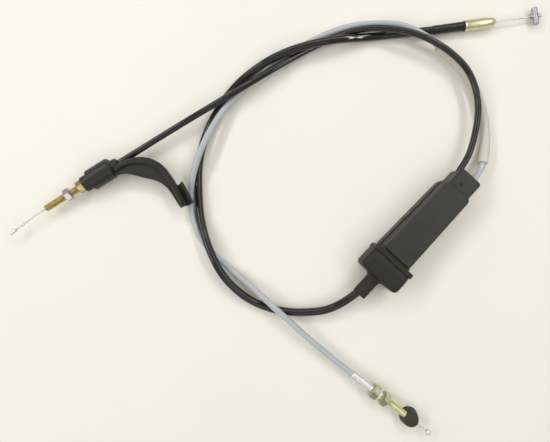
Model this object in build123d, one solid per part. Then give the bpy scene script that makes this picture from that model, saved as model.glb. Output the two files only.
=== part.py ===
from build123d import *
from math import cos, radians, sin, tan
import os

# Throttle cable set with a splitter box: one cable in from the grip, one out to the carburettor
# and one out to the oil pump. Millimetres, +Z up, the set lies on the plane Z = 0.

# ---- Cable sizes ----
THROTTLE_CONDUIT, THROTTLE_CONDUIT_BORE, THROTTLE_WIRE = 7.0, 2.2, 1.5
OUTLET_CONDUIT, OUTLET_CONDUIT_BORE, OUTLET_WIRE = 5.5, 2.0, 1.2
HEAT_SLEEVE, HEAT_SLEEVE_BORE = 8.5, 5.9
RUNNING = 0.05  # radial clearance of a thread in its nut
LOOSE = 0.15  # radial clearance of a conduit in its seat
OPEN = 0.3  # radial gap where a conduit turns or bends inside a piece

# ---- Cable routes, grip end or box end first ----
THROTTLE_ROUTE = [
    (174.4, 174.3, 5.1),
    (142, 169.7, 5.1),
    (110, 167.2, 3.6),
    (82, 163.8, 3.6),
    (54, 159.6, 10.5),
    (26, 154, 12),
    (-2, 144.5, 10.5),
    (-28, 129.5, 3.8),
    (-46.5, 110, 3.6),
    (-61.5, 84, 3.6),
    (-70, 56, 3.6),
    (-70.5, 28, 3.6),
    (-68.5, 1, 4.5),
    (-60, -25, 10.6),
    (-47, -51, 10),
    (-22, -73.5, 3.6),
    (15, -83.3, 3.6),
    (60.6, -75.6, 11),
    (91.8, -41.7, 11),
]
CARB_ROUTE = [
    (146.6, 28.8, 11),
    (164.8, 48.6, 11),
    (173.5, 77, 12),
    (176, 104, 13),
    (167.5, 130.5, 14),
    (147.8, 148.6, 15.5),
    (123.2, 161, 17),
    (100.5, 167, 14.5),
    (77, 170.6, 8),
    (52, 164.5, 2.8),
    (28, 153.5, 2.8),
    (2, 137, 9),
    (-34, 114.3, 12),
    (-84, 84.5, 12),
    (-128.6, 57.6, 9.6),
    (-171, 31, 9.6),
]
PUMP_ROUTE = [
    (157.5, 18.8, 11),
    (177.1, 40.1, 11),
    (184, 60, 6),
    (185, 86, 4.3),
    (179, 112, 4.3),
    (167, 133.4, 4.3),
    (151.8, 148.3, 4.6),
    (132.6, 161.3, 10.5),
    (111, 172, 11),
    (90, 175.8, 5),
    (67, 174.8, 2.8),
    (45.5, 168, 2.8),
    (17, 154, 2.8),
    (-12, 131.5, 2.8),
    (-41.2, 107.5, 6),
    (-58.8, 80.5, 11),
    (-71, 52, 13),
    (-78, 24.5, 4),
    (-75.5, -1, 2.8),
    (-64, -23, 2.8),
    (-46, -39.5, 2.8),
    (-26, -55, 6),
    (-7, -72, 11),
    (13, -90, 11.4),
    (42.2, -116.5, 7.2),
    (73.9, -140.9, 7.2),
]
SLEEVE_FROM, SLEEVE_TO = 1, 6  # the heat sleeve spans the middles of these runs of PUMP_ROUTE

# ---- Splitter box, in its own frame: X along the box towards the outlets, cables at AXIS_Z ----
BOX_ORIGIN, BOX_HEADING = (85.0, -49.1, 0), 47.4
AXIS_Z, SEAM_Z = 11, 13
INPUT_SEAT, OUTLET_SEAT = 10.1, 99
OUTLET_OFFSET = 7.4
HOUSING_START, HOUSING_END, NECK_END = 22.5, 103, 118.5
BASE_BOTTOM, COVER_TOP = 1, 25.5
BASE_HALF = (17.2, 14.7)  # half width at the boot end and at the neck end
COVER_HALF, COVER_TOP_HALF = (16.2, 14.0), (13.7, 12.75)
WALL, SHOULDER = 2, 4
CHAMBER_START, CHAMBER_END = 12, 97.5
SPIGOT_START, SPIGOT_HALF, SPIGOT_BOTTOM, SPIGOT_TOP = 3, 15.5, 2.5, 24
NECK_HALF, NECK_BOTTOM, NECK_TOP = 10.9, 1.5, 24.5
PASSAGE = 1.4  # radius of a hole that only a wire passes
LATCHES, LATCH_WIDTH, LATCH_DROP, LATCH_RISE, LATCH_THICK = (60, 72), 5, 4, 2, 1

# ---- Slider inside the box ----
SLIDER_START, SLIDER_END, SLIDER_HALF = 44, 68, 10.4
SLIDER_BOTTOM, SLIDER_TOP = 3.4, 17
RAIL_SPAN, RAIL_TOP, RAIL_THICK, RAIL_GAP = (30, 95), 12, 1.5, 0.4
NIPPLE_RADIUS, NIPPLE_HALF, NIPPLE_INSET = 2.5, 3, 5
THROTTLE_STUB, OUTLET_STUB = 14, 6.5  # wire that reaches into each conduit at rest

# ---- Boot over the box's input end ----
BOOT_END, BOOT_LIP, BOOT_BODY = 22.2, 4.2, 13.5
BOOT_BODY_SIZE = (20.1, 0.3, 26.8, 5)  # half width, bottom, top and corner radius
BOOT_WAIST_SIZE = (19.5, 0.7, 25.9, 4.5)
BOOT_LIP_SIZE = (20.5, 0, 27.4, 4)
NOZZLE_START, NOZZLE_RADIUS, NOZZLE_ROOT = -20.5, 6.2, 4
CAP_OUTER, CAP_BACK, CAP_WALL = 4.5, 12, 1.2

# ---- Grip end, X = 0 at the ferrule's rear and X growing outward ----
THROTTLE_SEAT, THROTTLE_NOSE = 8.8, 27.7
THROTTLE_SLEEVE_LENGTH = 27
BARREL_STATION, BARREL_RADIUS, BARREL_LENGTH = 64, 2.5, 14.7
PIN_START, PIN_END, PIN_RADIUS = 59.3, 69.1, 1.55

# ---- Carburettor end, X = 0 at the adjuster's mouth and X growing towards the conduit ----
CARB_SEAT = 38
THREAD_RADIUS = 3  # M6
CARB_HEX, CARB_HEX_START, CARB_HEX_END = 10, 34, 41
CARB_LOCKNUT, LOCKNUT_THICK = 20.9, 5
CARB_WIRE_HIDDEN, KINK_AT, KINK_ANGLE = 30, 9.5, 4.5
STOP_BALL_AT, STOP_BALL_RADIUS = 24, 1.4
CARB_NIPPLE_AT, CARB_NIPPLE_RADIUS, CARB_NIPPLE_LENGTH = 35, 1.6, 6.2
ARM_OUTER = [(70, -3), (85, -2.8), (97, -8.3), (106.5, -20), (108.8, -32), (108.8, -44), (106, -63)]
ARM_INNER = [(70, -7), (82, -7.2), (93, -12.8), (101.5, -23), (103.9, -34), (104, -46), (102.8, -63)]
ARM_LOWER = [(68, -9.4), (76.5, -12.2), (86.5, -22), (96, -32), (100, -40), (101.2, -50), (101.4, -63)]
RIM_BOTTOM, RIM_TOP, RIM_ROUND, WEB_BOTTOM, WEB_TOP = 9.2, 17.2, 1.2, 11.8, 13.8
CLIP_AT, CLIP_LENGTH, CLIP_TILT, CLIP_Z = (110.5, -54.5), 20, 4, 15.2
CLIP_RADIUS, CLIP_BORE, CLIP_SLOT = 4, 2.8, 4

# ---- Oil pump end, X = 0 at the ferrule's rear and X growing outward ----
PUMP_SEAT, PUMP_STEP, PUMP_THREAD_START, PUMP_FERRULE_END, PUMP_THREAD_END = 10, 12.2, 16, 22, 61
PUMP_HEX, PUMP_NUT, PUMP_NUT_END, WASHER_END, WASHER_RADIUS = 12, 22.2, 28.5, 30, 6
PUMP_LOCKNUT, PUMP_LOCKNUT_END = 33.9, 38.8
PUMP_CAP_AT, PUMP_CAP_BASE, PUMP_CAP_EDGE, PUMP_CAP_TOP = 65.2, -7, 1.5, 5.6
PUMP_CAP_RADIUS, PUMP_CAP_CROWN, PUMP_CAP_WALL = 8.1, 6.9, 1.6
PUMP_WIRE_START, PUMP_NIPPLE_AT, PUMP_NIPPLE_RADIUS = 20, 84.7, 2.7


def bend_radii(route):
    """Bend at each inner point: 0.45 of the shorter run over the tangent of half the turn."""
    radii = []
    for before, corner, after in zip(route, route[1:], route[2:]):
        run_in = Vector(*corner) - Vector(*before)
        run_out = Vector(*after) - Vector(*corner)
        half_turn = radians(run_in.get_angle(run_out) / 2)
        radii.append(0.45 * min(run_in.length, run_out.length) / tan(half_turn))
    return radii


def cable(route, diameter, bore=0, radii=None):
    """Tube along a route of straight runs and tangent arcs."""
    path = FilletPolyline(*route, radius=radii or bend_radii(route))
    section = Circle(diameter / 2)
    if bore:
        section -= Circle(bore / 2)
    return sweep(Plane(origin=path @ 0, z_dir=path % 0) * section, path)


def trimmed(solid, tip, length):
    """The cable without its last length at the tip."""
    return solid - Pos(*tip) * Sphere(length)


def middle(route, run):
    """Middle of the run that starts at this point of the route."""
    return tuple((a + b) / 2 for a, b in zip(route[run], route[run + 1]))


def end_frame(tip, before, seat, outward=1):
    """Frame along a cable's last run, with the conduit's end at X = seat."""
    run = (Vector(*tip) - Vector(*before)).normalized() * outward
    return Plane(origin=Vector(*tip) - run * seat, x_dir=run, z_dir=(0, 0, 1))


def turned(*profile):
    """Solid turned about X from (station, radius) points."""
    return revolve(make_face(Polyline(*profile, close=True)), Axis.X)


def upright(*profile):
    """Solid turned about Z from (radius, height) points."""
    return revolve(Plane.XZ * make_face(Polyline(*profile, close=True)), Axis.Z)


def rod(start, end, radius, bore=0):
    """Round bar or tube along X."""
    return turned((start, bore), (end, bore), (end, radius), (start, radius))


def hexagon(start, end, flats):
    """Hexagonal bar along X with chamfered corners."""
    corner = flats / 2 / cos(radians(30))
    chamfer_run = 0.5 * (corner - flats / 2)
    section = RegularPolygon(flats / 2, 6, major_radius=False)
    prism = extrude(Plane(origin=(start, 0, 0), x_dir=(0, 0, 1), z_dir=(1, 0, 0)) * section,
                    end - start)
    return prism & turned(
        (start, 0), (end, 0), (end, flats / 2), (end - chamfer_run, corner),
        (start + chamfer_run, corner), (start, flats / 2))


def outline(start, end, half_start, half_end, corner):
    """Tapered plan of the box, rounded at its corners."""
    plan = make_face(Polyline(
        (start, -half_start), (end, -half_end), (end, half_end), (start, half_start), close=True))
    return fillet(plan.vertices(), corner)


def block(start, end, half, bottom, top):
    """Rectangular block about the box's middle plane."""
    return Pos((start + end) / 2, 0, (bottom + top) / 2) * Box(end - start, 2 * half, top - bottom)


def across(station, half, bottom, top, corner):
    """Rounded rectangle across the box at a station."""
    plane = Plane(origin=(station, 0, (bottom + top) / 2), x_dir=(0, 0, 1), z_dir=(1, 0, 0))
    return plane * RectangleRounded(top - bottom, 2 * half, corner)


def at_axis(solid, offset=0):
    """Turned piece moved onto a cable's axis in the box."""
    return Pos(0, offset, AXIS_Z) * solid


def write(frame=None, **nodes):
    """Writes each node to its own file, placed by its frame."""
    for name, solid in nodes.items():
        placed = frame * solid if frame else solid
        placed.label = name
        export_step(placed, f"parts/{name}.step")


os.makedirs("parts", exist_ok=True)
BOX = Plane(
    origin=BOX_ORIGIN, x_dir=(cos(radians(BOX_HEADING)), sin(radians(BOX_HEADING)), 0),
    z_dir=(0, 0, 1))

# ---- Splitter housing: base tray and cover, split at the seam ----
low = block(-50, 150, 60, -50, SEAM_Z)
high = block(-50, 150, 60, SEAM_Z, 80)
spigot = extrude(across(SPIGOT_START, SPIGOT_HALF, SPIGOT_BOTTOM, SPIGOT_TOP, SHOULDER),
                 HOUSING_START + WALL - SPIGOT_START)
neck = extrude(Pos(0, 0, NECK_BOTTOM) * outline(
    HOUSING_END - 10, NECK_END, NECK_HALF, NECK_HALF, 3), NECK_TOP - NECK_BOTTOM)
neck = fillet(neck.edges().group_by(Axis.Z)[-1], 2)
ends = spigot + neck

base = extrude(Pos(0, 0, BASE_BOTTOM) * outline(
    HOUSING_START, HOUSING_END, *BASE_HALF, SHOULDER), SEAM_Z - BASE_BOTTOM)
base = fillet(base.edges().group_by(Axis.Z)[0], 1.5)
cover = loft([
    Pos(0, 0, SEAM_Z) * outline(HOUSING_START, HOUSING_END, *COVER_HALF, SHOULDER),
    Pos(0, 0, COVER_TOP) * outline(HOUSING_START + 1, HOUSING_END - 1, *COVER_TOP_HALF, SHOULDER),
])
cover = fillet(cover.edges().group_by(Axis.Z)[-1], 2)

inside_start = HOUSING_START + WALL
base_chamber = extrude(Pos(0, 0, BASE_BOTTOM + WALL) * outline(
    inside_start, CHAMBER_END, BASE_HALF[0] - WALL, BASE_HALF[1] - WALL + 0.2, 2.5),
    SEAM_Z - BASE_BOTTOM - WALL)
cover_chamber = loft([
    Pos(0, 0, SEAM_Z) * outline(
        inside_start, CHAMBER_END, COVER_HALF[0] - WALL, COVER_HALF[1] - WALL + 0.2, 2.5),
    Pos(0, 0, COVER_TOP - WALL) * outline(
        inside_start + 1, CHAMBER_END - 1, COVER_TOP_HALF[0] - WALL, COVER_TOP_HALF[1] - WALL, 2.5),
])
spigot_chamber = block(CHAMBER_START, inside_start + 2, SPIGOT_HALF - 2.5,
                       SPIGOT_BOTTOM + 2.5, SPIGOT_TOP - 2.5)
passages = at_axis(
    rod(SPIGOT_START - 1, INPUT_SEAT + CAP_WALL, CAP_OUTER + LOOSE)
    + rod(INPUT_SEAT, CHAMBER_START + 1, PASSAGE))
for side in (1, -1):
    passages += at_axis(
        rod(OUTLET_SEAT, NECK_END + 1, OUTLET_CONDUIT / 2 + LOOSE)
        + rod(CHAMBER_END - 1, OUTLET_SEAT + 1, PASSAGE), side * OUTLET_OFFSET)

rails = Part()
latches = Part()
for side in (1, -1):
    rail_middle = SLIDER_HALF + RAIL_GAP + RAIL_THICK / 2
    rails += Pos(sum(RAIL_SPAN) / 2, side * rail_middle, (BASE_BOTTOM + WALL + RAIL_TOP) / 2) * Box(
        RAIL_SPAN[1] - RAIL_SPAN[0], RAIL_THICK, RAIL_TOP - BASE_BOTTOM - WALL)
    for station in LATCHES:
        share = (station - HOUSING_START) / (HOUSING_END - HOUSING_START)
        wall_outside = BASE_HALF[0] + (BASE_HALF[1] - BASE_HALF[0]) * share
        latches += Pos(station, side * wall_outside, SEAM_Z - LATCH_DROP / 2) * Box(
            LATCH_WIDTH, 2 * LATCH_THICK, LATCH_DROP)
        latches += Pos(station, side * wall_outside, SEAM_Z + LATCH_RISE / 2) * Box(
            LATCH_WIDTH, 2 * (LATCH_THICK + 0.7), LATCH_RISE)
latches = latches & extrude(Pos(0, 0, BASE_BOTTOM) * outline(
    HOUSING_START, HOUSING_END, *BASE_HALF, SHOULDER), COVER_TOP)
base_solid = base + (ends & low)
base_solid = base_solid - base_chamber - spigot_chamber - passages - latches + rails
cover_solid = cover + (ends & high) + latches
cover_solid = cover_solid - (cover_chamber & high) - spigot_chamber - passages
cover_solid = cover_solid - Pos(NECK_END - 12, 2, NECK_TOP + 0.6) * Sphere(1.5)
write(BOX, splitter_base=base_solid, splitter_cover=cover_solid)

# ---- Slider, its three nipples and the wires between the conduits ----
slider = block(SLIDER_START, SLIDER_END, SLIDER_HALF, SLIDER_BOTTOM, SLIDER_TOP)
slider = fillet(slider.edges().filter_by(Axis.Z), 2)
wires = {
    "slider_throttle_wire": (SLIDER_START + NIPPLE_INSET, INPUT_SEAT - THROTTLE_STUB, 0,
                             THROTTLE_WIRE / 2),
    "slider_carb_wire": (SLIDER_END - NIPPLE_INSET, OUTLET_SEAT + OUTLET_STUB, OUTLET_OFFSET,
                         OUTLET_WIRE / 2),
    "slider_pump_wire": (SLIDER_END - NIPPLE_INSET, OUTLET_SEAT + OUTLET_STUB, -OUTLET_OFFSET,
                         OUTLET_WIRE / 2),
}
nipples = []
for name, (anchor, end, offset, radius) in wires.items():
    wire = at_axis(rod(min(anchor, end), max(anchor, end), radius), offset)
    nipples.append(Pos(anchor, offset, AXIS_Z) * Cylinder(NIPPLE_RADIUS, 2 * NIPPLE_HALF) - wire)
    pocket_floor = AXIS_Z - NIPPLE_HALF
    slider -= Pos(anchor, offset, (pocket_floor + SLIDER_TOP) / 2) * Cylinder(
        NIPPLE_RADIUS + LOOSE, SLIDER_TOP - pocket_floor)
    slot_end = SLIDER_START if end < anchor else SLIDER_END
    slider -= Pos((anchor + slot_end) / 2, offset, (AXIS_Z - 1 + SLIDER_TOP) / 2) * Box(
        abs(slot_end - anchor), 2 * radius + 0.6, SLIDER_TOP - AXIS_Z + 1)
    write(BOX, **{name: wire})
write(BOX, splitter_slider=slider, slider_nipples=Compound(children=nipples))

# ---- Boot over the input end, and the cap on the conduit inside it ----
body = extrude(across(0, *BOOT_BODY_SIZE), BOOT_BODY)
body = fillet(body.edges().group_by(Axis.X)[0], 4)
lip_start = BOOT_END - BOOT_LIP
waist = loft([across(BOOT_BODY, *BOOT_BODY_SIZE), across(lip_start, *BOOT_WAIST_SIZE)])
lip = extrude(across(lip_start, *BOOT_LIP_SIZE), BOOT_LIP)
lip = fillet(lip.edges().group_by(Axis.X)[0] + lip.edges().group_by(Axis.X)[-1], 0.8)
root_arc = [(NOZZLE_ROOT * (sin(radians(a)) - 1), NOZZLE_RADIUS + NOZZLE_ROOT * (1 - cos(radians(a))))
            for a in range(0, 75, 15)]
nozzle = turned((NOZZLE_START, 0), (NOZZLE_START, NOZZLE_RADIUS - 0.6),
                (NOZZLE_START + 0.6, NOZZLE_RADIUS), *root_arc, (1, root_arc[-1][1]), (1, 0))
hollow = extrude(across(SPIGOT_START, SPIGOT_HALF + LOOSE, SPIGOT_BOTTOM - LOOSE,
                        SPIGOT_TOP + LOOSE, SHOULDER), BOOT_END - SPIGOT_START + 1)
boot = body + waist + lip + at_axis(nozzle) - hollow - at_axis(
    rod(NOZZLE_START - 1, INPUT_SEAT, THROTTLE_CONDUIT / 2 + OPEN)
    + rod(INPUT_SEAT - CAP_BACK - 1, SPIGOT_START + 1, CAP_OUTER + LOOSE))
input_cap = at_axis(
    rod(INPUT_SEAT - CAP_BACK, INPUT_SEAT, CAP_OUTER, THROTTLE_CONDUIT / 2 + LOOSE)
    + rod(INPUT_SEAT, INPUT_SEAT + CAP_WALL, CAP_OUTER, PASSAGE))
write(BOX, splitter_boot=boot, input_end_cap=input_cap)

# ---- Conduits and the still part of each inner cable ----
inner_cables = {
    "throttle": (THROTTLE_ROUTE, THROTTLE_CONDUIT, THROTTLE_CONDUIT_BORE, THROTTLE_WIRE, 7, 22),
    "carb": (CARB_ROUTE, OUTLET_CONDUIT, OUTLET_CONDUIT_BORE, OUTLET_WIRE, 20, 1),
    "pump": (PUMP_ROUTE, OUTLET_CONDUIT, OUTLET_CONDUIT_BORE, OUTLET_WIRE, 20, 1),
}
for name, (route, diameter, bore, wire, first_trim, last_trim) in inner_cables.items():
    conduit = cable(route, diameter, bore)
    inner = trimmed(cable(route, wire), route[0], first_trim)
    inner = trimmed(inner, route[-1], last_trim)
    write(**{f"{name}_conduit": conduit, f"{name}_inner_cable": inner})
    runs = [(Vector(*b) - Vector(*a)).length for a, b in zip(route, route[1:])]
    print(name, "bends", [round(r) for r in bend_radii(route)], "runs", [round(r) for r in runs])
    ring = (diameter ** 2 - bore ** 2) * 3.14159 / 4
    print(name, "length", round(conduit.volume / ring, 1), "sum of runs", round(sum(runs), 1))

sleeve_route = [middle(PUMP_ROUTE, SLEEVE_FROM), *PUMP_ROUTE[SLEEVE_FROM + 1:SLEEVE_TO + 1],
                middle(PUMP_ROUTE, SLEEVE_TO)]
write(heat_sleeve=cable(sleeve_route, HEAT_SLEEVE, HEAT_SLEEVE_BORE,
                        bend_radii(PUMP_ROUTE)[SLEEVE_FROM:SLEEVE_TO]))

# ---- Grip end ----
GRIP = end_frame(THROTTLE_ROUTE[0], THROTTLE_ROUTE[1], THROTTLE_SEAT)
conduit_radius = THROTTLE_CONDUIT / 2
sleeve = cable(THROTTLE_ROUTE[:4], THROTTLE_CONDUIT + 0.7, THROTTLE_CONDUIT + 0.1,
               bend_radii(THROTTLE_ROUTE[:5])[:2])
sleeve = sleeve & Pos(*THROTTLE_ROUTE[0]) * Sphere(THROTTLE_SEAT + THROTTLE_SLEEVE_LENGTH)
sleeve = sleeve - GRIP * rod(0, 20, 10)
flare = turned((-10, conduit_radius + 0.2), (-10, conduit_radius + 0.4), (-2, 4.1), (-1.6, 4.3),
               (0, 4.3), (0, conduit_radius + 0.2))
write(throttle_sleeve=sleeve + GRIP * flare)

ferrule = turned(
    (0, conduit_radius + LOOSE), (0, 5), (1.6, 5), (2, 4.8), (18, 4.8), (22.5, 4.1), (25.8, 3.9),
    (27, 3.3), (THROTTLE_NOSE, 2.2), (THROTTLE_NOSE, PASSAGE), (THROTTLE_SEAT, PASSAGE),
    (THROTTLE_SEAT, conduit_radius + LOOSE))
wire_end = PIN_END - 3
throttle_wire = rod(THROTTLE_NOSE - 12, wire_end, THROTTLE_WIRE / 2)
pin = rod(PIN_START, PIN_END, PIN_RADIUS)
barrel = Pos(BARREL_STATION, 0, 0) * Rot(90, 0, 0) * Cylinder(BARREL_RADIUS, BARREL_LENGTH)
barrel = chamfer(barrel.edges(), 0.4)
write(GRIP, throttle_ferrule=ferrule, throttle_wire=throttle_wire,
      throttle_barrel=barrel - pin, throttle_pin=pin - throttle_wire)

# ---- Carburettor end ----
CARB = end_frame(CARB_ROUTE[-1], CARB_ROUTE[-2], CARB_SEAT, outward=-1)
adjuster = rod(0, CARB_HEX_START, THREAD_RADIUS)
adjuster = chamfer(adjuster.edges().group_by(Axis.X)[0], 0.5)
adjuster = adjuster + hexagon(CARB_HEX_START, CARB_HEX_END, CARB_HEX)
adjuster = adjuster - rod(-1, CARB_SEAT, PASSAGE)
adjuster = adjuster - rod(CARB_SEAT - 0.1, CARB_HEX_END + 1, OUTLET_CONDUIT / 2 + OPEN)
locknut = hexagon(CARB_LOCKNUT, CARB_LOCKNUT + LOCKNUT_THICK, CARB_HEX)
locknut = locknut - rod(0, CARB_HEX_START, THREAD_RADIUS + RUNNING)

kinked = Rot(0, 0, KINK_ANGLE)
kink = Pos(-KINK_AT, 0, 0)
wire_radius = OUTLET_WIRE / 2
carb_wire_end = CARB_NIPPLE_AT + CARB_NIPPLE_LENGTH / 2 - 1 - KINK_AT
carb_wire = (rod(-KINK_AT, CARB_WIRE_HIDDEN, wire_radius) + kink * Sphere(wire_radius)
             + kink * kinked * rod(-carb_wire_end, 0, wire_radius))
stop_ball = kink * kinked * (Pos(KINK_AT - STOP_BALL_AT, 0, 0) * Sphere(STOP_BALL_RADIUS)
                             - rod(-carb_wire_end, 0, wire_radius))
nipple_middle = KINK_AT - CARB_NIPPLE_AT
carb_nipple = kink * kinked * rod(
    nipple_middle - CARB_NIPPLE_LENGTH / 2, nipple_middle + CARB_NIPPLE_LENGTH / 2,
    CARB_NIPPLE_RADIUS)

boot_bore = OUTLET_CONDUIT / 2 + 0.2
hex_room = CARB_HEX / 2 / cos(radians(30)) + 0.4
carb_boot = turned(
    (39.7, hex_room), (39.7, 6.9), (39.9, 7.1), (46.4, 7.1), (46.6, 8.9), (47.1, 9.4), (67.4, 9.4),
    (68.3, 8.7), (70.2, 6), (70.8, 5.6), (74.5, 5.4), (75, 5), (75, boot_bore), (44, boot_bore),
    (42, hex_room))
rim = make_face([Spline(*ARM_OUTER), Line(ARM_OUTER[-1], ARM_INNER[-1]),
                 Spline(*reversed(ARM_INNER)), Line(ARM_INNER[0], ARM_OUTER[0])])
web = make_face([Spline(*ARM_OUTER), Line(ARM_OUTER[-1], ARM_LOWER[-1]),
                 Spline(*reversed(ARM_LOWER)), Line(ARM_LOWER[0], ARM_OUTER[0])])
carb_z = CARB_ROUTE[-1][2]
rim_bar = extrude(Pos(0, 0, RIM_BOTTOM - carb_z) * rim, RIM_TOP - RIM_BOTTOM)
rim_bar = chamfer(rim_bar.edges().group_by(Axis.Z)[-1], RIM_ROUND)
arm = rim_bar + extrude(Pos(0, 0, WEB_BOTTOM - carb_z) * web, WEB_TOP - WEB_BOTTOM)
clip_at = Pos(*CLIP_AT, CLIP_Z - carb_z) * Rot(0, 0, -CLIP_TILT) * Rot(90, 0, 0)
clip = clip_at * Cylinder(CLIP_RADIUS, CLIP_LENGTH)
clip_bore = clip_at * (Cylinder(CLIP_BORE, CLIP_LENGTH + 2)
                       + Pos(0, CLIP_RADIUS, 0) * Box(CLIP_SLOT, 2 * CLIP_RADIUS, CLIP_LENGTH + 2))
carb_boot = carb_boot + (arm - rod(60, 90, boot_bore)) + clip - clip_bore
write(CARB, carb_adjuster=adjuster, carb_locknut=locknut, carb_wire=carb_wire,
      carb_stop_ball=stop_ball, carb_nipple=carb_nipple - carb_wire,
      carb_boot=carb_boot)

# ---- Oil pump end ----
PUMP = end_frame(PUMP_ROUTE[-1], PUMP_ROUTE[-2], PUMP_SEAT)
seat_radius = OUTLET_CONDUIT / 2 + LOOSE
pump_ferrule = turned(
    (0, seat_radius), (0, 3.9), (0.3, 4.1), (PUMP_STEP - 0.5, 4.1), (PUMP_STEP, 3.75),
    (PUMP_FERRULE_END - 0.3, 3.75), (PUMP_FERRULE_END, 3.5),
    (PUMP_FERRULE_END, THREAD_RADIUS + RUNNING), (PUMP_THREAD_START, THREAD_RADIUS + RUNNING),
    (PUMP_THREAD_START, PASSAGE), (PUMP_SEAT, PASSAGE), (PUMP_SEAT, seat_radius))
pump_tube = turned(
    (PUMP_THREAD_START, PASSAGE), (PUMP_THREAD_START, THREAD_RADIUS),
    (PUMP_THREAD_END - 0.5, THREAD_RADIUS), (PUMP_THREAD_END, THREAD_RADIUS - 0.5),
    (PUMP_THREAD_END, PASSAGE))
thread_room = rod(0, PUMP_THREAD_END, THREAD_RADIUS + RUNNING)
pump_wire = rod(PUMP_WIRE_START, PUMP_NIPPLE_AT, wire_radius)
inner_crown = PUMP_CAP_CROWN - PUMP_CAP_WALL
inner_radius = PUMP_CAP_RADIUS - PUMP_CAP_WALL
inner_top = PUMP_CAP_TOP - PUMP_CAP_WALL
pump_cap = upright(
    (0, PUMP_CAP_TOP), (3.2, PUMP_CAP_TOP - 0.1), (5, PUMP_CAP_TOP - 0.7), (6.2, PUMP_CAP_TOP - 1.9),
    (PUMP_CAP_CROWN, PUMP_CAP_EDGE), (PUMP_CAP_RADIUS, PUMP_CAP_BASE + 1.2),
    (PUMP_CAP_RADIUS, PUMP_CAP_BASE), (inner_radius, PUMP_CAP_BASE),
    (inner_radius, PUMP_CAP_BASE + 1.2), (inner_crown, PUMP_CAP_EDGE), (3.6, inner_top - 0.4),
    (0, inner_top))
pump_cap = Pos(PUMP_CAP_AT, 0, 0) * pump_cap - rod(
    PUMP_FERRULE_END, PUMP_CAP_AT, THREAD_RADIUS + RUNNING) - rod(PUMP_CAP_AT, PUMP_NIPPLE_AT, PASSAGE)
write(PUMP, pump_ferrule=pump_ferrule, pump_adjuster=pump_tube,
      pump_nut=hexagon(PUMP_NUT, PUMP_NUT_END, PUMP_HEX) - thread_room,
      pump_washer=rod(PUMP_NUT_END, WASHER_END, WASHER_RADIUS, THREAD_RADIUS + LOOSE),
      pump_locknut=hexagon(PUMP_LOCKNUT, PUMP_LOCKNUT_END, PUMP_HEX) - thread_room,
      pump_cap=pump_cap, pump_wire=pump_wire,
      pump_nipple=Pos(PUMP_NIPPLE_AT, 0, 0) * Sphere(PUMP_NIPPLE_RADIUS) - pump_wire)
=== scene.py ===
from math import ceil, cos, pi, radians, sin

import bmesh
import bpy
from mathutils import Matrix, Vector


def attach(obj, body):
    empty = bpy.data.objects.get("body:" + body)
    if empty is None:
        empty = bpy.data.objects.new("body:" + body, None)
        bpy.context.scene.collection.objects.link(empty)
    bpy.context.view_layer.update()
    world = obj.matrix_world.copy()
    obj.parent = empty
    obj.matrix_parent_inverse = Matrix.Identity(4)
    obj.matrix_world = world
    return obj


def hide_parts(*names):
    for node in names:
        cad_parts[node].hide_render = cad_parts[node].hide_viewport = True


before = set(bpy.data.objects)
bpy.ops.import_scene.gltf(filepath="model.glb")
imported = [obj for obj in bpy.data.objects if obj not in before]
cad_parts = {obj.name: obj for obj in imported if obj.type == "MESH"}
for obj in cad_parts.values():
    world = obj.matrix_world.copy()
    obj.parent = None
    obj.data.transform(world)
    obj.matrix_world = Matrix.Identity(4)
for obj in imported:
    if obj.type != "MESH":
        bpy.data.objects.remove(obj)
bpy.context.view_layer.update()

MM = 0.001

# ---- Cable routes, metres, the same points as the CAD tubes ----
THROTTLE_ROUTE = [
    (0.1744, 0.1743, 0.0051),
    (0.142, 0.1697, 0.0051),
    (0.110, 0.1672, 0.0036),
    (0.082, 0.1638, 0.0036),
    (0.054, 0.1596, 0.0105),
    (0.026, 0.154, 0.012),
    (-0.002, 0.1445, 0.0105),
    (-0.028, 0.1295, 0.0038),
    (-0.0465, 0.110, 0.0036),
    (-0.0615, 0.084, 0.0036),
    (-0.070, 0.056, 0.0036),
    (-0.0705, 0.028, 0.0036),
    (-0.0685, 0.001, 0.0045),
    (-0.060, -0.025, 0.0106),
    (-0.047, -0.051, 0.010),
    (-0.022, -0.0735, 0.0036),
    (0.015, -0.0833, 0.0036),
    (0.0606, -0.0756, 0.011),
    (0.0918, -0.0417, 0.011),
]
CARB_ROUTE = [
    (0.1466, 0.0288, 0.011),
    (0.1648, 0.0486, 0.011),
    (0.1735, 0.077, 0.012),
    (0.176, 0.104, 0.013),
    (0.1675, 0.1305, 0.014),
    (0.1478, 0.1486, 0.0155),
    (0.1232, 0.161, 0.017),
    (0.1005, 0.167, 0.0145),
    (0.077, 0.1706, 0.008),
    (0.052, 0.1645, 0.0028),
    (0.028, 0.1535, 0.0028),
    (0.002, 0.137, 0.009),
    (-0.034, 0.1143, 0.012),
    (-0.084, 0.0845, 0.012),
    (-0.1286, 0.0576, 0.0096),
    (-0.171, 0.031, 0.0096),
]
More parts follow.
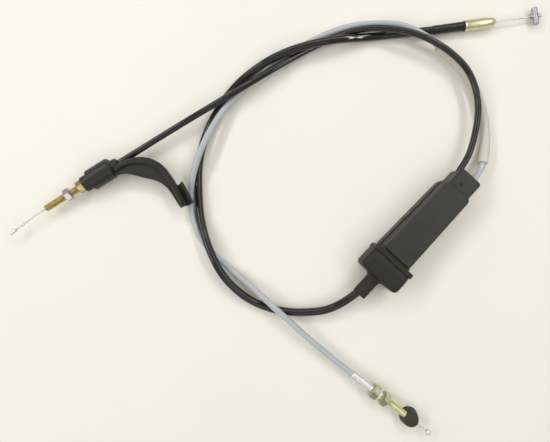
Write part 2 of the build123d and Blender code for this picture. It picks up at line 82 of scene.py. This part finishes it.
PUMP_ROUTE = [
    (0.1575, 0.0188, 0.011),
    (0.1771, 0.0401, 0.011),
    (0.184, 0.060, 0.006),
    (0.185, 0.086, 0.0043),
    (0.179, 0.112, 0.0043),
    (0.167, 0.1334, 0.0043),
    (0.1518, 0.1483, 0.0046),
    (0.1326, 0.1613, 0.0105),
    (0.111, 0.172, 0.011),
    (0.090, 0.1758, 0.005),
    (0.067, 0.1748, 0.0028),
    (0.0455, 0.168, 0.0028),
    (0.017, 0.154, 0.0028),
    (-0.012, 0.1315, 0.0028),
    (-0.0412, 0.1075, 0.006),
    (-0.0588, 0.0805, 0.011),
    (-0.071, 0.052, 0.013),
    (-0.078, 0.0245, 0.004),
    (-0.0755, -0.001, 0.0028),
    (-0.064, -0.023, 0.0028),
    (-0.046, -0.0395, 0.0028),
    (-0.026, -0.055, 0.006),
    (-0.007, -0.072, 0.011),
    (0.013, -0.090, 0.0114),
    (0.0422, -0.1165, 0.0072),
    (0.0739, -0.1409, 0.0072),
]

# ---- Sizes ----
THROTTLE_CONDUIT, THROTTLE_BORE, THROTTLE_WIRE = 7.0 * MM, 2.2 * MM, 1.5 * MM
OUTLET_CONDUIT, OUTLET_BORE, OUTLET_WIRE = 5.5 * MM, 2.0 * MM, 1.2 * MM
HEAT_SLEEVE, HEAT_SLEEVE_BORE = 8.5 * MM, 5.9 * MM
WIRE_ROOM, WIRE_ROOM_LENGTH = 0.75 * MM, 24 * MM
THREAD_RADIUS, THREAD_PITCH, THREAD_DEPTH, WIRE_HOLE = 3 * MM, 1.0 * MM, 0.45 * MM, 1.4 * MM
THROTTLE_SEAT, CARB_SEAT, PUMP_SEAT = 8.8 * MM, 38 * MM, 10 * MM
CARB_THREAD_END, PUMP_THREAD = 34.2 * MM, (22 * MM, 61 * MM)

# ---- Turned profiles, (station, radius) in millimetres along each fitting's axis ----
CARB_HEX = (34, 41, 10, 1.4, 3.05)  # start, end, across flats, bore at start, bore at end
HEX_SEAT_DEPTH = 3.9
PUMP_SHANK = [(16, 1.4), (16, 2.8), (16.2, 3), (22.2, 3), (22.2, 1.4)]
THROTTLE_FERRULE = [
    (0, 3.65), (0, 4.9), (0.1, 5), (1.6, 5), (2, 4.8), (18, 4.8), (22.5, 4.1), (25.8, 3.9),
    (27, 3.3), (27.7, 2.2), (27.7, 1.4), (8.8, 1.4), (8.8, 3.65)]
PUMP_FERRULE = [
    (0, 2.9), (0, 3.9), (0.3, 4.1), (11.7, 4.1), (12.2, 3.75), (21.7, 3.75), (22, 3.5),
    (22, 3.05), (16, 3.05), (16, 1.4), (10, 1.4), (10, 2.9)]
FERRULE_SIDES = 72


# ---- Materials ----
def principled(name, colour, roughness, metallic=0.0, coat=0.0, coat_roughness=0.1, specular=0.5):
    """New material and its node tree's links, nodes and main shader."""
    material = bpy.data.materials.new(name)
    material.use_nodes = True
    nodes, links = material.node_tree.nodes, material.node_tree.links
    shader = nodes["Principled BSDF"]
    shader.inputs["Base Color"].default_value = (*colour, 1)
    shader.inputs["Roughness"].default_value = roughness
    shader.inputs["Metallic"].default_value = metallic
    shader.inputs["Specular IOR Level"].default_value = specular
    shader.inputs["Coat Weight"].default_value = coat
    shader.inputs["Coat Roughness"].default_value = coat_roughness
    return material, nodes, links, shader


def noise(nodes, links, scale, detail=4.0, source="Object", stretch=None):
    """Noise texture over object or UV coordinates; scale is in features per metre."""
    where = nodes.new("ShaderNodeTexCoord")
    texture = nodes.new("ShaderNodeTexNoise")
    texture.inputs["Scale"].default_value = scale
    texture.inputs["Detail"].default_value = detail
    start = where.outputs[source]
    if stretch:
        mapping = nodes.new("ShaderNodeMapping")
        mapping.inputs["Scale"].default_value = stretch
        links.new(start, mapping.inputs["Vector"])
        start = mapping.outputs["Vector"]
    links.new(start, texture.inputs["Vector"])
    return texture.outputs["Fac"]


def ramp(nodes, links, factor, stops):
    """Colour ramp fed by a factor, from (position, colour) stops."""
    node = nodes.new("ShaderNodeValToRGB")
    elements = node.color_ramp.elements
    for element, (position, colour) in zip(elements, stops):
        element.position = position
        element.color = (*colour, 1)
    for position, colour in stops[len(elements):]:
        element = elements.new(position)
        element.color = (*colour, 1)
    links.new(factor, node.inputs["Fac"])
    return node.outputs["Color"]


def shade(colour, factor):
    """A lighter or darker version of a colour."""
    return tuple(min(1, c * factor) for c in colour)


def vary(nodes, links, shader, colour, scale, spread, roughness, source="Object", stretch=None):
    """Uneven colour and roughness from one noise."""
    factor = noise(nodes, links, scale, 5, source, stretch)
    tone = ramp(nodes, links, factor, [(0.3, shade(colour, 1 - spread)), (0.7, shade(colour, 1 + spread))])
    links.new(tone, shader.inputs["Base Color"])
    matt = ramp(nodes, links, factor, [(0.25, (roughness[0],) * 3), (0.75, (roughness[1],) * 3)])
    links.new(matt, shader.inputs["Roughness"])


def bump(nodes, links, shader, height, strength, distance):
    """Bump from a height."""
    node = nodes.new("ShaderNodeBump")
    node.inputs["Strength"].default_value = strength
    node.inputs["Distance"].default_value = distance
    links.new(height, node.inputs["Height"])
    links.new(node.outputs["Normal"], shader.inputs["Normal"])


def moulded(name, colour, roughness, grain=1400, strength=0.25, spread=0.12, specular=0.5):
    """Moulded plastic or rubber with fine grain."""
    material, nodes, links, shader = principled(name, colour, roughness[0], specular=specular)
    vary(nodes, links, shader, colour, 90, spread, roughness)
    bump(nodes, links, shader, noise(nodes, links, grain, 3), strength, 0.0002)
    return material


def extruded(name, colour, roughness, coat, coat_roughness, specular=0.5):
    """Extruded conduit skin: a glossy coat over faint lines that run along the cable."""
    material, nodes, links, shader = principled(
        name, colour, roughness[0], 0, coat, coat_roughness, specular)
    shader.inputs["Coat IOR"].default_value = 1.6
    vary(nodes, links, shader, colour, 3, 0.15, roughness, "UV", (30, 8, 1))
    bump(nodes, links, shader, noise(nodes, links, 1, 2, "UV", (500, 14, 1)), 0.12, 0.0001)
    return material


def plated(name, colour, roughness, spread=0.1, grain=2500, strength=0.012):
    """Plated or bright metal with faint tool marks and uneven tone."""
    material, nodes, links, shader = principled(name, colour, roughness[0], 1.0)
    vary(nodes, links, shader, colour, 260, spread, roughness)
    bump(nodes, links, shader, noise(nodes, links, grain, 2), strength, 0.0001)
    return material


MATERIALS = {
    "box_plastic": moulded("box_plastic_look", (0.026, 0.027, 0.023), (0.40, 0.52), specular=0.4),
    "boot_rubber": moulded("boot_rubber_look", (0.018, 0.0175, 0.013), (0.48, 0.62), 1100, 0.3,
                           specular=0.35),
    "cap_rubber": moulded("cap_rubber_look", (0.026, 0.025, 0.018), (0.5, 0.65), 1100, 0.3),
    "arm_rubber": moulded("arm_rubber_look", (0.024, 0.024, 0.017), (0.32, 0.44), 1300, 0.25,
                          specular=0.35),
    "black_conduit": extruded("black_conduit_look", (0.004, 0.004, 0.003), (0.3, 0.42), 1.0, 0.05, 0),
    "grey_conduit": extruded("grey_conduit_look", (0.45, 0.475, 0.50), (0.35, 0.45), 0.4, 0.2),
    "heat_sleeve": extruded("heat_sleeve_look", (0.60, 0.58, 0.50), (0.45, 0.6), 0.15, 0.35),
    "end_sleeve": extruded("end_sleeve_look", (0.008, 0.008, 0.007), (0.35, 0.45), 0.6, 0.15, 0.1),
    "ferrule_zinc": plated("ferrule_zinc_look", (0.70, 0.66, 0.44), (0.30, 0.38)),
    "bright_steel": plated("bright_steel_look", (0.80, 0.80, 0.77), (0.40, 0.50)),
    "adjuster_brass": plated("adjuster_brass_look", (0.54, 0.43, 0.19), (0.24, 0.36), 0.12),
    "pump_thread": plated("pump_thread_look", (0.72, 0.71, 0.44), (0.30, 0.40), 0.12),
    "lilac_steel": plated("lilac_steel_look", (0.62, 0.55, 0.54), (0.25, 0.4)),
    "yellow_zinc": plated("yellow_zinc_look", (0.62, 0.63, 0.42), (0.22, 0.34)),
    "cast_zinc": plated("cast_zinc_look", (0.44, 0.45, 0.45), (0.34, 0.5), 0.15),
    "wire_steel": plated("wire_steel_look", (0.60, 0.59, 0.56), (0.28, 0.4), 0.1),
    "slider_plastic": moulded("slider_plastic_look", (0.70, 0.69, 0.63), (0.4, 0.5)),
}


def paint(obj, look):
    """Gives an object one material in its one slot, and smooth shading."""
    obj.data.materials.clear()
    obj.data.materials.append(MATERIALS[look])
    for face in obj.data.polygons:
        face.material_index = 0
        face.use_smooth = True


def soften(obj, width, segments=2, angle=32):
    """Rounds a CAD node's sharp edges with modifiers, without changing its mesh."""
    bevel = obj.modifiers.new("edge_round", "BEVEL")
    bevel.width = width
    bevel.segments = segments
    bevel.limit_method = "ANGLE"
    bevel.angle_limit = radians(angle)
    bevel.harden_normals = True


# ---- Mesh building ----
def new_piece(name, mesh, look, body, nodes=()):
    """Makes an object of a bmesh, paints it, puts it on its body and lets it stand for CAD nodes."""
    data = bpy.data.meshes.new(name)
    bmesh.ops.recalc_face_normals(mesh, faces=mesh.faces)
    mesh.to_mesh(data)
    mesh.free()
    piece = bpy.data.objects.new(name, data)
    bpy.context.scene.collection.objects.link(piece)
    paint(piece, look)
    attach(piece, body)
    if nodes:
        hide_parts(*nodes)
    return piece


def frames_along(points):
    """Position, side and up vectors at each point, carried along without twist."""
    tangents = []
    for index in range(len(points)):
        ahead = points[min(index + 1, len(points) - 1)]
        behind = points[max(index - 1, 0)]
        tangents.append((ahead - behind).normalized())
    up = Vector((0, 0, 1))
    carried = []
    for point, tangent in zip(points, tangents):
        up = (up - tangent * up.dot(tangent)).normalized()
        carried.append((point, tangent.cross(up), up))
    return carried


def travelled(points):
    """Distance along the points, from the first."""
    distances = [0.0]
    for a, b in zip(points, points[1:]):
        distances.append(distances[-1] + (b - a).length)
    return distances


def swept(points, radius, around, bore=0.0, room=0.0):
    """Closed tube along points. radius(distance, angle) gives the outer surface.

    room widens the bore over its first WIRE_ROOM_LENGTH, where a straight wire slides in.
    """
    mesh = bmesh.new()
    layer = mesh.loops.layers.uv.new("UVMap")
    distances = travelled(points)
    stations = frames_along(points)

    def ring(station, distance, count, size):
        point, side, up = station
        made = []
        for step in range(count):
            angle = 2 * pi * step / count
            reach = size(distance, angle)
            made.append(mesh.verts.new(point + (side * cos(angle) + up * sin(angle)) * reach))
        return made

    def skin(rings, count, flip):
        for index, (first, second) in enumerate(zip(rings, rings[1:])):
            for step in range(count):
                following = (step + 1) % count
                corners = [first[step], first[following], second[following], second[step]]
                face = mesh.faces.new(corners[::-1] if flip else corners)
                for loop in face.loops:
                    on_second = loop.vert in (second[step], second[following])
                    turn = step + (1 if loop.vert in (first[following], second[following]) else 0)
                    loop[layer].uv = (turn / count, distances[index + on_second] * 100)

    outer = [ring(s, d, around, radius) for s, d in zip(stations, distances)]
    skin(outer, around, False)
    if bore:
        def inside(distance, _angle):
            return bore / 2 + room * min(1, max(0, (WIRE_ROOM_LENGTH - distance) / (4 * MM)))

        inner = [ring(s, d, around, inside) for s, d in zip(stations, distances)]
        skin(inner, around, True)
        for out, into, flip in ((outer[0], inner[0], True), (outer[-1], inner[-1], False)):
            for step in range(around):
                following = (step + 1) % around
                corners = [out[step], out[following], into[following], into[step]]
                mesh.faces.new(corners[::-1] if flip else corners)
    else:
        mesh.faces.new(outer[0][::-1])
        mesh.faces.new(outer[-1])
    return mesh


def spline_points(name, route, resolution=14):
    """Points along the smooth cable line whose control points are the route's."""
    curve = bpy.data.curves.new(name + "_line", "CURVE")
    curve.dimensions = "3D"
    spline = curve.splines.new("NURBS")
    spline.points.add(len(route) - 1)
    for place, point in zip(spline.points, route):
        place.co = (*point, 1)
    spline.order_u = 3
    spline.use_endpoint_u = True
    spline.resolution_u = resolution
    line = bpy.data.objects.new(name + "_line", curve)
    bpy.context.scene.collection.objects.link(line)
    bpy.context.view_layer.update()
    sampled = bpy.data.meshes.new_from_object(line)
    points = [v.co.copy() for v in sampled.vertices]
    bpy.data.objects.remove(line)
    bpy.data.meshes.remove(sampled)
    bpy.data.curves.remove(curve)
    return points


def stretch_of(points, start, end):
    """The part of the points between two distances along them, with exact ends."""
    distances = travelled(points)
    kept = []
    for (a, b), (near, far) in zip(zip(points, points[1:]), zip(distances, distances[1:])):
        if near <= start < far:
            kept.append(a.lerp(b, (start - near) / (far - near)))
        if start < far < end:
            kept.append(b.copy())
        if near < end <= far:
            kept.append(a.lerp(b, (end - near) / (far - near)))
    return kept


def strand(radius, lobes=6, lay=9 * MM):
    """Outline of a laid wire rope: lobes that wind round as the rope goes along."""
    def outline(distance, angle):
        turned = angle - 2 * pi * distance / lay
        return radius * (0.84 + 0.16 * abs(cos(lobes / 2 * turned)))
    return outline


def even_points(start, end, step):
    """Points from start to end, one every step."""
    count = max(2, ceil((end - start).length / step))
    return [start.lerp(end, index / count) for index in range(count + 1)]


def end_frame(tip, before, seat, outward=1):
    """Matrix whose X axis follows a cable's last run, with the conduit's end at X = seat."""
    along = (Vector(tip) - Vector(before)).normalized() * outward
    side = Vector((0, 0, 1)).cross(along)
    matrix = Matrix((along, side, (0, 0, 1))).transposed().to_4x4()
    matrix.translation = Vector(tip) - along * seat
    return matrix


GRIP = end_frame(THROTTLE_ROUTE[0], THROTTLE_ROUTE[1], THROTTLE_SEAT)
CARB = end_frame(CARB_ROUTE[-1], CARB_ROUTE[-2], CARB_SEAT, -1)
PUMP = end_frame(PUMP_ROUTE[-1], PUMP_ROUTE[-2], PUMP_SEAT)


# ---- Conduits, with their still inner cables ----
def conduit(name, route, diameter, bore, look, room=0.0):
    """Hollow conduit along its route's smooth line; returns the piece and the line."""
    line = spline_points(name, route)
    tube = swept(line, lambda *_: diameter / 2, 28, bore, room)
    piece = new_piece(name + "_conduit_skin", tube, look, "cable_set", [name + "_conduit"])
    return piece, line


def inner_cable(name, line, diameter, first_trim, last_trim):
    """Laid wire inside a conduit."""
    length = travelled(line)[-1]
    inside = stretch_of(line, first_trim, length - last_trim)
    return new_piece(name + "_inner_strand", swept(inside, strand(diameter / 2), 18), "wire_steel",
                     "cable_set", [name + "_inner_cable"])


throttle_conduit, throttle_line = conduit(
    "throttle", THROTTLE_ROUTE, THROTTLE_CONDUIT, THROTTLE_BORE, "black_conduit")
carb_conduit, carb_line = conduit(
    "carb", CARB_ROUTE, OUTLET_CONDUIT, OUTLET_BORE, "black_conduit", WIRE_ROOM)
pump_conduit, pump_line = conduit(
    "pump", PUMP_ROUTE, OUTLET_CONDUIT, OUTLET_BORE, "grey_conduit", WIRE_ROOM)
throttle_core = inner_cable("throttle", throttle_line, THROTTLE_WIRE, 7 * MM, 22 * MM)
carb_core = inner_cable("carb", carb_line, OUTLET_WIRE, 20 * MM, 1 * MM)
pump_core = inner_cable("pump", pump_line, OUTLET_WIRE, 20 * MM, 1 * MM)


def nearest_distance(line, place):
    """Distance along the line of its point nearest a place."""
    distances = travelled(line)
    return min(zip(line, distances), key=lambda pair: (pair[0] - place).length)[1]


def make_heat_sleeve():
    """Loose heat sleeve over the oil pump conduit, cut square, slightly uneven."""
    first = (Vector(PUMP_ROUTE[1]) + Vector(PUMP_ROUTE[2])) / 2
    last = (Vector(PUMP_ROUTE[6]) + Vector(PUMP_ROUTE[7])) / 2
    inside = stretch_of(pump_line, nearest_distance(pump_line, first), nearest_distance(pump_line, last))

    def outline(distance, angle):
        wave = 0.012 * sin(distance / (7 * MM)) + 0.010 * sin(distance / (3.1 * MM) + 2 * angle)
        return HEAT_SLEEVE / 2 * (0.985 + wave)

    return new_piece("heat_sleeve_tube", swept(inside, outline, 32, HEAT_SLEEVE_BORE),
                     "heat_sleeve", "cable_set", ["heat_sleeve"])


def make_end_sleeve():
    """Black sleeve on the grip end of the thick conduit, flared where it meets the ferrule."""
    inside = stretch_of(throttle_line, THROTTLE_SEAT, THROTTLE_SEAT + 27 * MM)
    fine = [p for a, b in zip(inside, inside[1:]) for p in even_points(a, b, 0.6 * MM)[:-1]]
    fine.append(inside[-1])

    def outline(distance, angle):
        flare = 0.35 * MM * max(0, 1 - distance / (2.2 * MM)) ** 2
        body = 4.0 * MM - 0.2 * MM * min(1, distance / (24 * MM))
        lip = 0.12 * MM * max(0, 1 - abs(distance - 26 * MM) / (1 * MM))
        return body + flare + lip

    return new_piece("end_sleeve_tube", swept(fine, outline, 32, THROTTLE_CONDUIT + 0.1 * MM),
                     "end_sleeve", "cable_set", ["throttle_sleeve"])


heat_sleeve = make_heat_sleeve()
end_sleeve = make_end_sleeve()


# ---- Wires ----
def wire(name, matrix, start, end, diameter, body):
    """Straight laid wire along a frame's X axis between two stations in millimetres."""
    points = even_points(matrix @ Vector((start * MM, 0, 0)), matrix @ Vector((end * MM, 0, 0)), 0.5 * MM)
    return new_piece(name + "_strand", swept(points, strand(diameter / 2), 24), "wire_steel", body,
                     [name])


wire("throttle_wire", GRIP, 15.7, 66.1, THROTTLE_WIRE, "grip_wire")
wire("pump_wire", PUMP, 20, 84.7, OUTLET_WIRE, "oil_pump_wire")


def make_carb_wire():
    """Carburettor wire with its slight kink outside the adjuster."""
    kinked = Matrix.Translation((-9.5 * MM, 0, 0)) @ Matrix.Rotation(radians(4.5), 4, "Z")
    inside = CARB @ Vector((30 * MM, 0, 0))
    kink = CARB @ Vector((-9.5 * MM, 0, 0))
    tip = CARB @ kinked @ Vector((-27.6 * MM, 0, 0))
    points = even_points(inside, kink, 0.5 * MM)[:-2] + even_points(kink, tip, 0.5 * MM)[2:]
    return new_piece("carb_wire_strand", swept(points, strand(OUTLET_WIRE / 2), 24), "wire_steel",
                     "carburettor_wire", ["carb_wire"])


make_carb_wire()


# ---- Threaded pieces ----
def vertex_about(mesh, matrix, station, radius, angle):
    """Adds one vertex at a station along a fitting's X axis and a radius and angle about it."""
    return mesh.verts.new(matrix @ Vector((station, radius * cos(angle), radius * sin(angle))))


def threaded(matrix, start, end, around=40):
    """Helical thread with a wire hole through it, between two stations in metres."""
    mesh = bmesh.new()
    steps = ceil((end - start) / (THREAD_PITCH / 10))
    chamfer = 0.5 * MM
    rings = []
    for index in range(steps + 1):
        station = start + (end - start) * index / steps
        run_out = min(1, (station - start) / chamfer, (end - station) / chamfer)
        ring = []
        for step in range(around):
            angle = 2 * pi * step / around
            phase = (station / THREAD_PITCH - angle / (2 * pi)) % 1
            groove = THREAD_DEPTH * (1 - min(1, abs(phase - 0.5) * 2.5))
            radius = min(THREAD_RADIUS - groove, THREAD_RADIUS - 0.45 * MM * (1 - run_out))
            ring.append(vertex_about(mesh, matrix, station, radius, angle))
        rings.append(ring)
    for station in (end, start):
        rings.append([vertex_about(mesh, matrix, station, WIRE_HOLE, 2 * pi * step / around)
                      for step in range(around)])
    rings.append(rings[0])
    for first, second in zip(rings, rings[1:]):
        for step in range(around):
            following = (step + 1) % around
            mesh.faces.new((first[step], second[step], second[following], first[following]))
    return mesh


def lathe(mesh, matrix, profile, around=48):
    """Adds a closed ring turned about X from (station, radius) points in millimetres."""
    rings = []
    for station, radius in profile:
        rings.append([vertex_about(mesh, matrix, station * MM, radius * MM, 2 * pi * step / around)
                      for step in range(around)])
    rings.append(rings[0])
    for first, second in zip(rings, rings[1:]):
        for step in range(around):
            following = (step + 1) % around
            mesh.faces.new((first[step], second[step], second[following], first[following]))


def hexagon(mesh, matrix, start, end, flats, bore_start, bore_end):
    """Adds a hexagonal head with domed corners and a stepped hole, in millimetres."""
    around = 96
    corner = flats / 2 / cos(radians(30))

    def flat_radius(angle):
        return flats / 2 / cos((angle + pi / 6) % (pi / 3) - pi / 6)

    chamfer = 0.5 * (corner - flats / 2)
    rings = []
    angles = [2 * pi * (step + 0.5) / around for step in range(around)]
    face, break_edge, edge_run = flats / 2, 0.15, 0.05
    for station, limit in ((start, face - break_edge), (start + edge_run, face),
                           (start + chamfer, corner), (end - chamfer, corner),
                           (end - edge_run, face), (end, face - break_edge)):
        rings.append([vertex_about(mesh, matrix, station * MM, min(limit, flat_radius(a)) * MM, a)
                      for a in angles])
    seat = start + HEX_SEAT_DEPTH
    for station, radius in ((end, bore_end), (seat, bore_end), (seat, bore_start),
                            (start, bore_start)):
        rings.append([vertex_about(mesh, matrix, station * MM, radius * MM, a) for a in angles])
    rings.append(rings[0])
    for first, second in zip(rings, rings[1:]):
        for step in range(around):
            following = (step + 1) % around
            mesh.faces.new((first[step], second[step], second[following], first[following]))


def flat_shaded(piece, angle=30):
    """Keeps a piece's real edges sharp and the rest smooth."""
    for edge in piece.data.edges:
        edge.use_edge_sharp = False
    piece.data.set_sharp_from_angle(angle=radians(angle))


carb_mesh = threaded(CARB, 0, CARB_THREAD_END)
hexagon(carb_mesh, CARB, *CARB_HEX)
carb_adjuster = new_piece("carb_adjuster_threaded", carb_mesh, "adjuster_brass",
                          "carburettor_adjuster", ["carb_adjuster"])
flat_shaded(carb_adjuster)
pump_mesh = threaded(PUMP, *PUMP_THREAD)
lathe(pump_mesh, PUMP, PUMP_SHANK)
pump_adjuster = new_piece("pump_adjuster_threaded", pump_mesh, "pump_thread", "cable_set",
                          ["pump_adjuster"])
flat_shaded(pump_adjuster)


def ferrule(name, node, matrix, profile, look):
    """Turned ferrule in place of its CAD node."""
    mesh = bmesh.new()
    lathe(mesh, matrix, profile, FERRULE_SIDES)
    piece = new_piece(name, mesh, look, "cable_set", [node])
    flat_shaded(piece)
    return piece


throttle_ferrule = ferrule("throttle_ferrule_turned", "throttle_ferrule", GRIP,
                           THROTTLE_FERRULE, "ferrule_zinc")
pump_ferrule = ferrule("pump_ferrule_turned", "pump_ferrule", PUMP, PUMP_FERRULE, "bright_steel")


# ---- CAD nodes that keep their shape ----
KEPT = {
    "splitter_base": ("box_plastic", 0.35), "splitter_cover": ("box_plastic", 0.35),
    "splitter_slider": ("slider_plastic", 0.2), "slider_nipples": ("bright_steel", 0.15),
    "slider_throttle_wire": ("wire_steel", 0.05), "slider_carb_wire": ("wire_steel", 0.05),
    "slider_pump_wire": ("wire_steel", 0.05), "splitter_boot": ("boot_rubber", 0.8),
    "input_end_cap": ("bright_steel", 0.15),
    "throttle_barrel": ("cast_zinc", 0.12), "throttle_pin": ("cast_zinc", 0.12),
    "carb_boot": ("arm_rubber", 0.5), "carb_locknut": ("lilac_steel", 0.12),
    "carb_stop_ball": ("bright_steel", 0.05), "carb_nipple": ("bright_steel", 0.12),
    "pump_nut": ("yellow_zinc", 0.15),
    "pump_washer": ("bright_steel", 0.15), "pump_locknut": ("yellow_zinc", 0.15),
    "pump_cap": ("cap_rubber", 0.25), "pump_nipple": ("bright_steel", 0.1),
}
for node, (look, rounding) in KEPT.items():
    paint(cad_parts[node], look)
    soften(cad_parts[node], rounding * MM)


# ---- Stage ----
def make_floor():
    """Pale floor under the set."""
    mesh = bmesh.new()
    bmesh.ops.create_grid(mesh, x_segments=2, y_segments=2, size=3)
    data = bpy.data.meshes.new("floor")
    mesh.to_mesh(data)
    mesh.free()
    floor = bpy.data.objects.new("floor", data)
    bpy.context.scene.collection.objects.link(floor)
    material, nodes, links, shader = principled("floor_look", (0.9, 0.87, 0.79), 0.9)
    vary(nodes, links, shader, (0.88, 0.85, 0.765), 6, 0.012, (0.85, 0.95))
    floor.data.materials.append(material)


def strip_light(name, place, size, power):
    """Long soft light aimed at the middle of the set."""
    data = bpy.data.lights.new(name, "AREA")
    data.shape = "RECTANGLE"
    data.size, data.size_y = size
    data.energy = power
    light = bpy.data.objects.new(name, data)
    light.location = place
    light.rotation_euler = (-Vector(place)).to_track_quat("-Z", "Y").to_euler()
    bpy.context.scene.collection.objects.link(light)


make_floor()
strip_light("left_window", (-0.9, 0.2, 0.85), (1.5, 0.07), 6.2)
strip_light("right_window", (0.8, 0.2, 1.0), (1.3, 0.07), 3.6)
strip_light("back_window", (0.1, 0.9, 0.95), (1.5, 0.07), 4.2)
strip_light("front_window", (0, -0.9, 0.95), (1.4, 0.06), 1.8)

WORLD_TINT, WORLD_STRENGTH = (1.0, 0.985, 0.95), 0.53
WORLD_STOPS = [(0.0, 0.6), (0.35, 0.62), (0.62, 0.95), (1.0, 1.0)]  # brighter overhead
world = bpy.data.worlds.new("studio")
bpy.context.scene.world = world
world.use_nodes = True
sky_nodes, sky_links = world.node_tree.nodes, world.node_tree.links
sky_direction = sky_nodes.new("ShaderNodeTexCoord")
sky_height = sky_nodes.new("ShaderNodeSeparateXYZ")
sky_links.new(sky_direction.outputs["Generated"], sky_height.inputs["Vector"])
sky_tone = ramp(sky_nodes, sky_links, sky_height.outputs["Z"],
                [(height, shade(WORLD_TINT, tone)) for height, tone in WORLD_STOPS])
sky_links.new(sky_tone, sky_nodes["Background"].inputs["Color"])
sky_nodes["Background"].inputs["Strength"].default_value = WORLD_STRENGTH

# ---- Camera, straight above ----
CAMERA_HEIGHT, VIEW_WIDTH, CAMERA_X = 0.400, 0.495, -0.002
camera_data = bpy.data.cameras.new("camera")
camera_data.sensor_width = 36
camera_data.lens = 36 * CAMERA_HEIGHT / VIEW_WIDTH
camera_data.clip_start = 0.01
camera = bpy.data.objects.new("camera", camera_data)
camera.location = (CAMERA_X, 0, CAMERA_HEIGHT)
bpy.context.scene.collection.objects.link(camera)
bpy.context.scene.camera = camera
bpy.context.scene.view_settings.view_transform = "Standard"
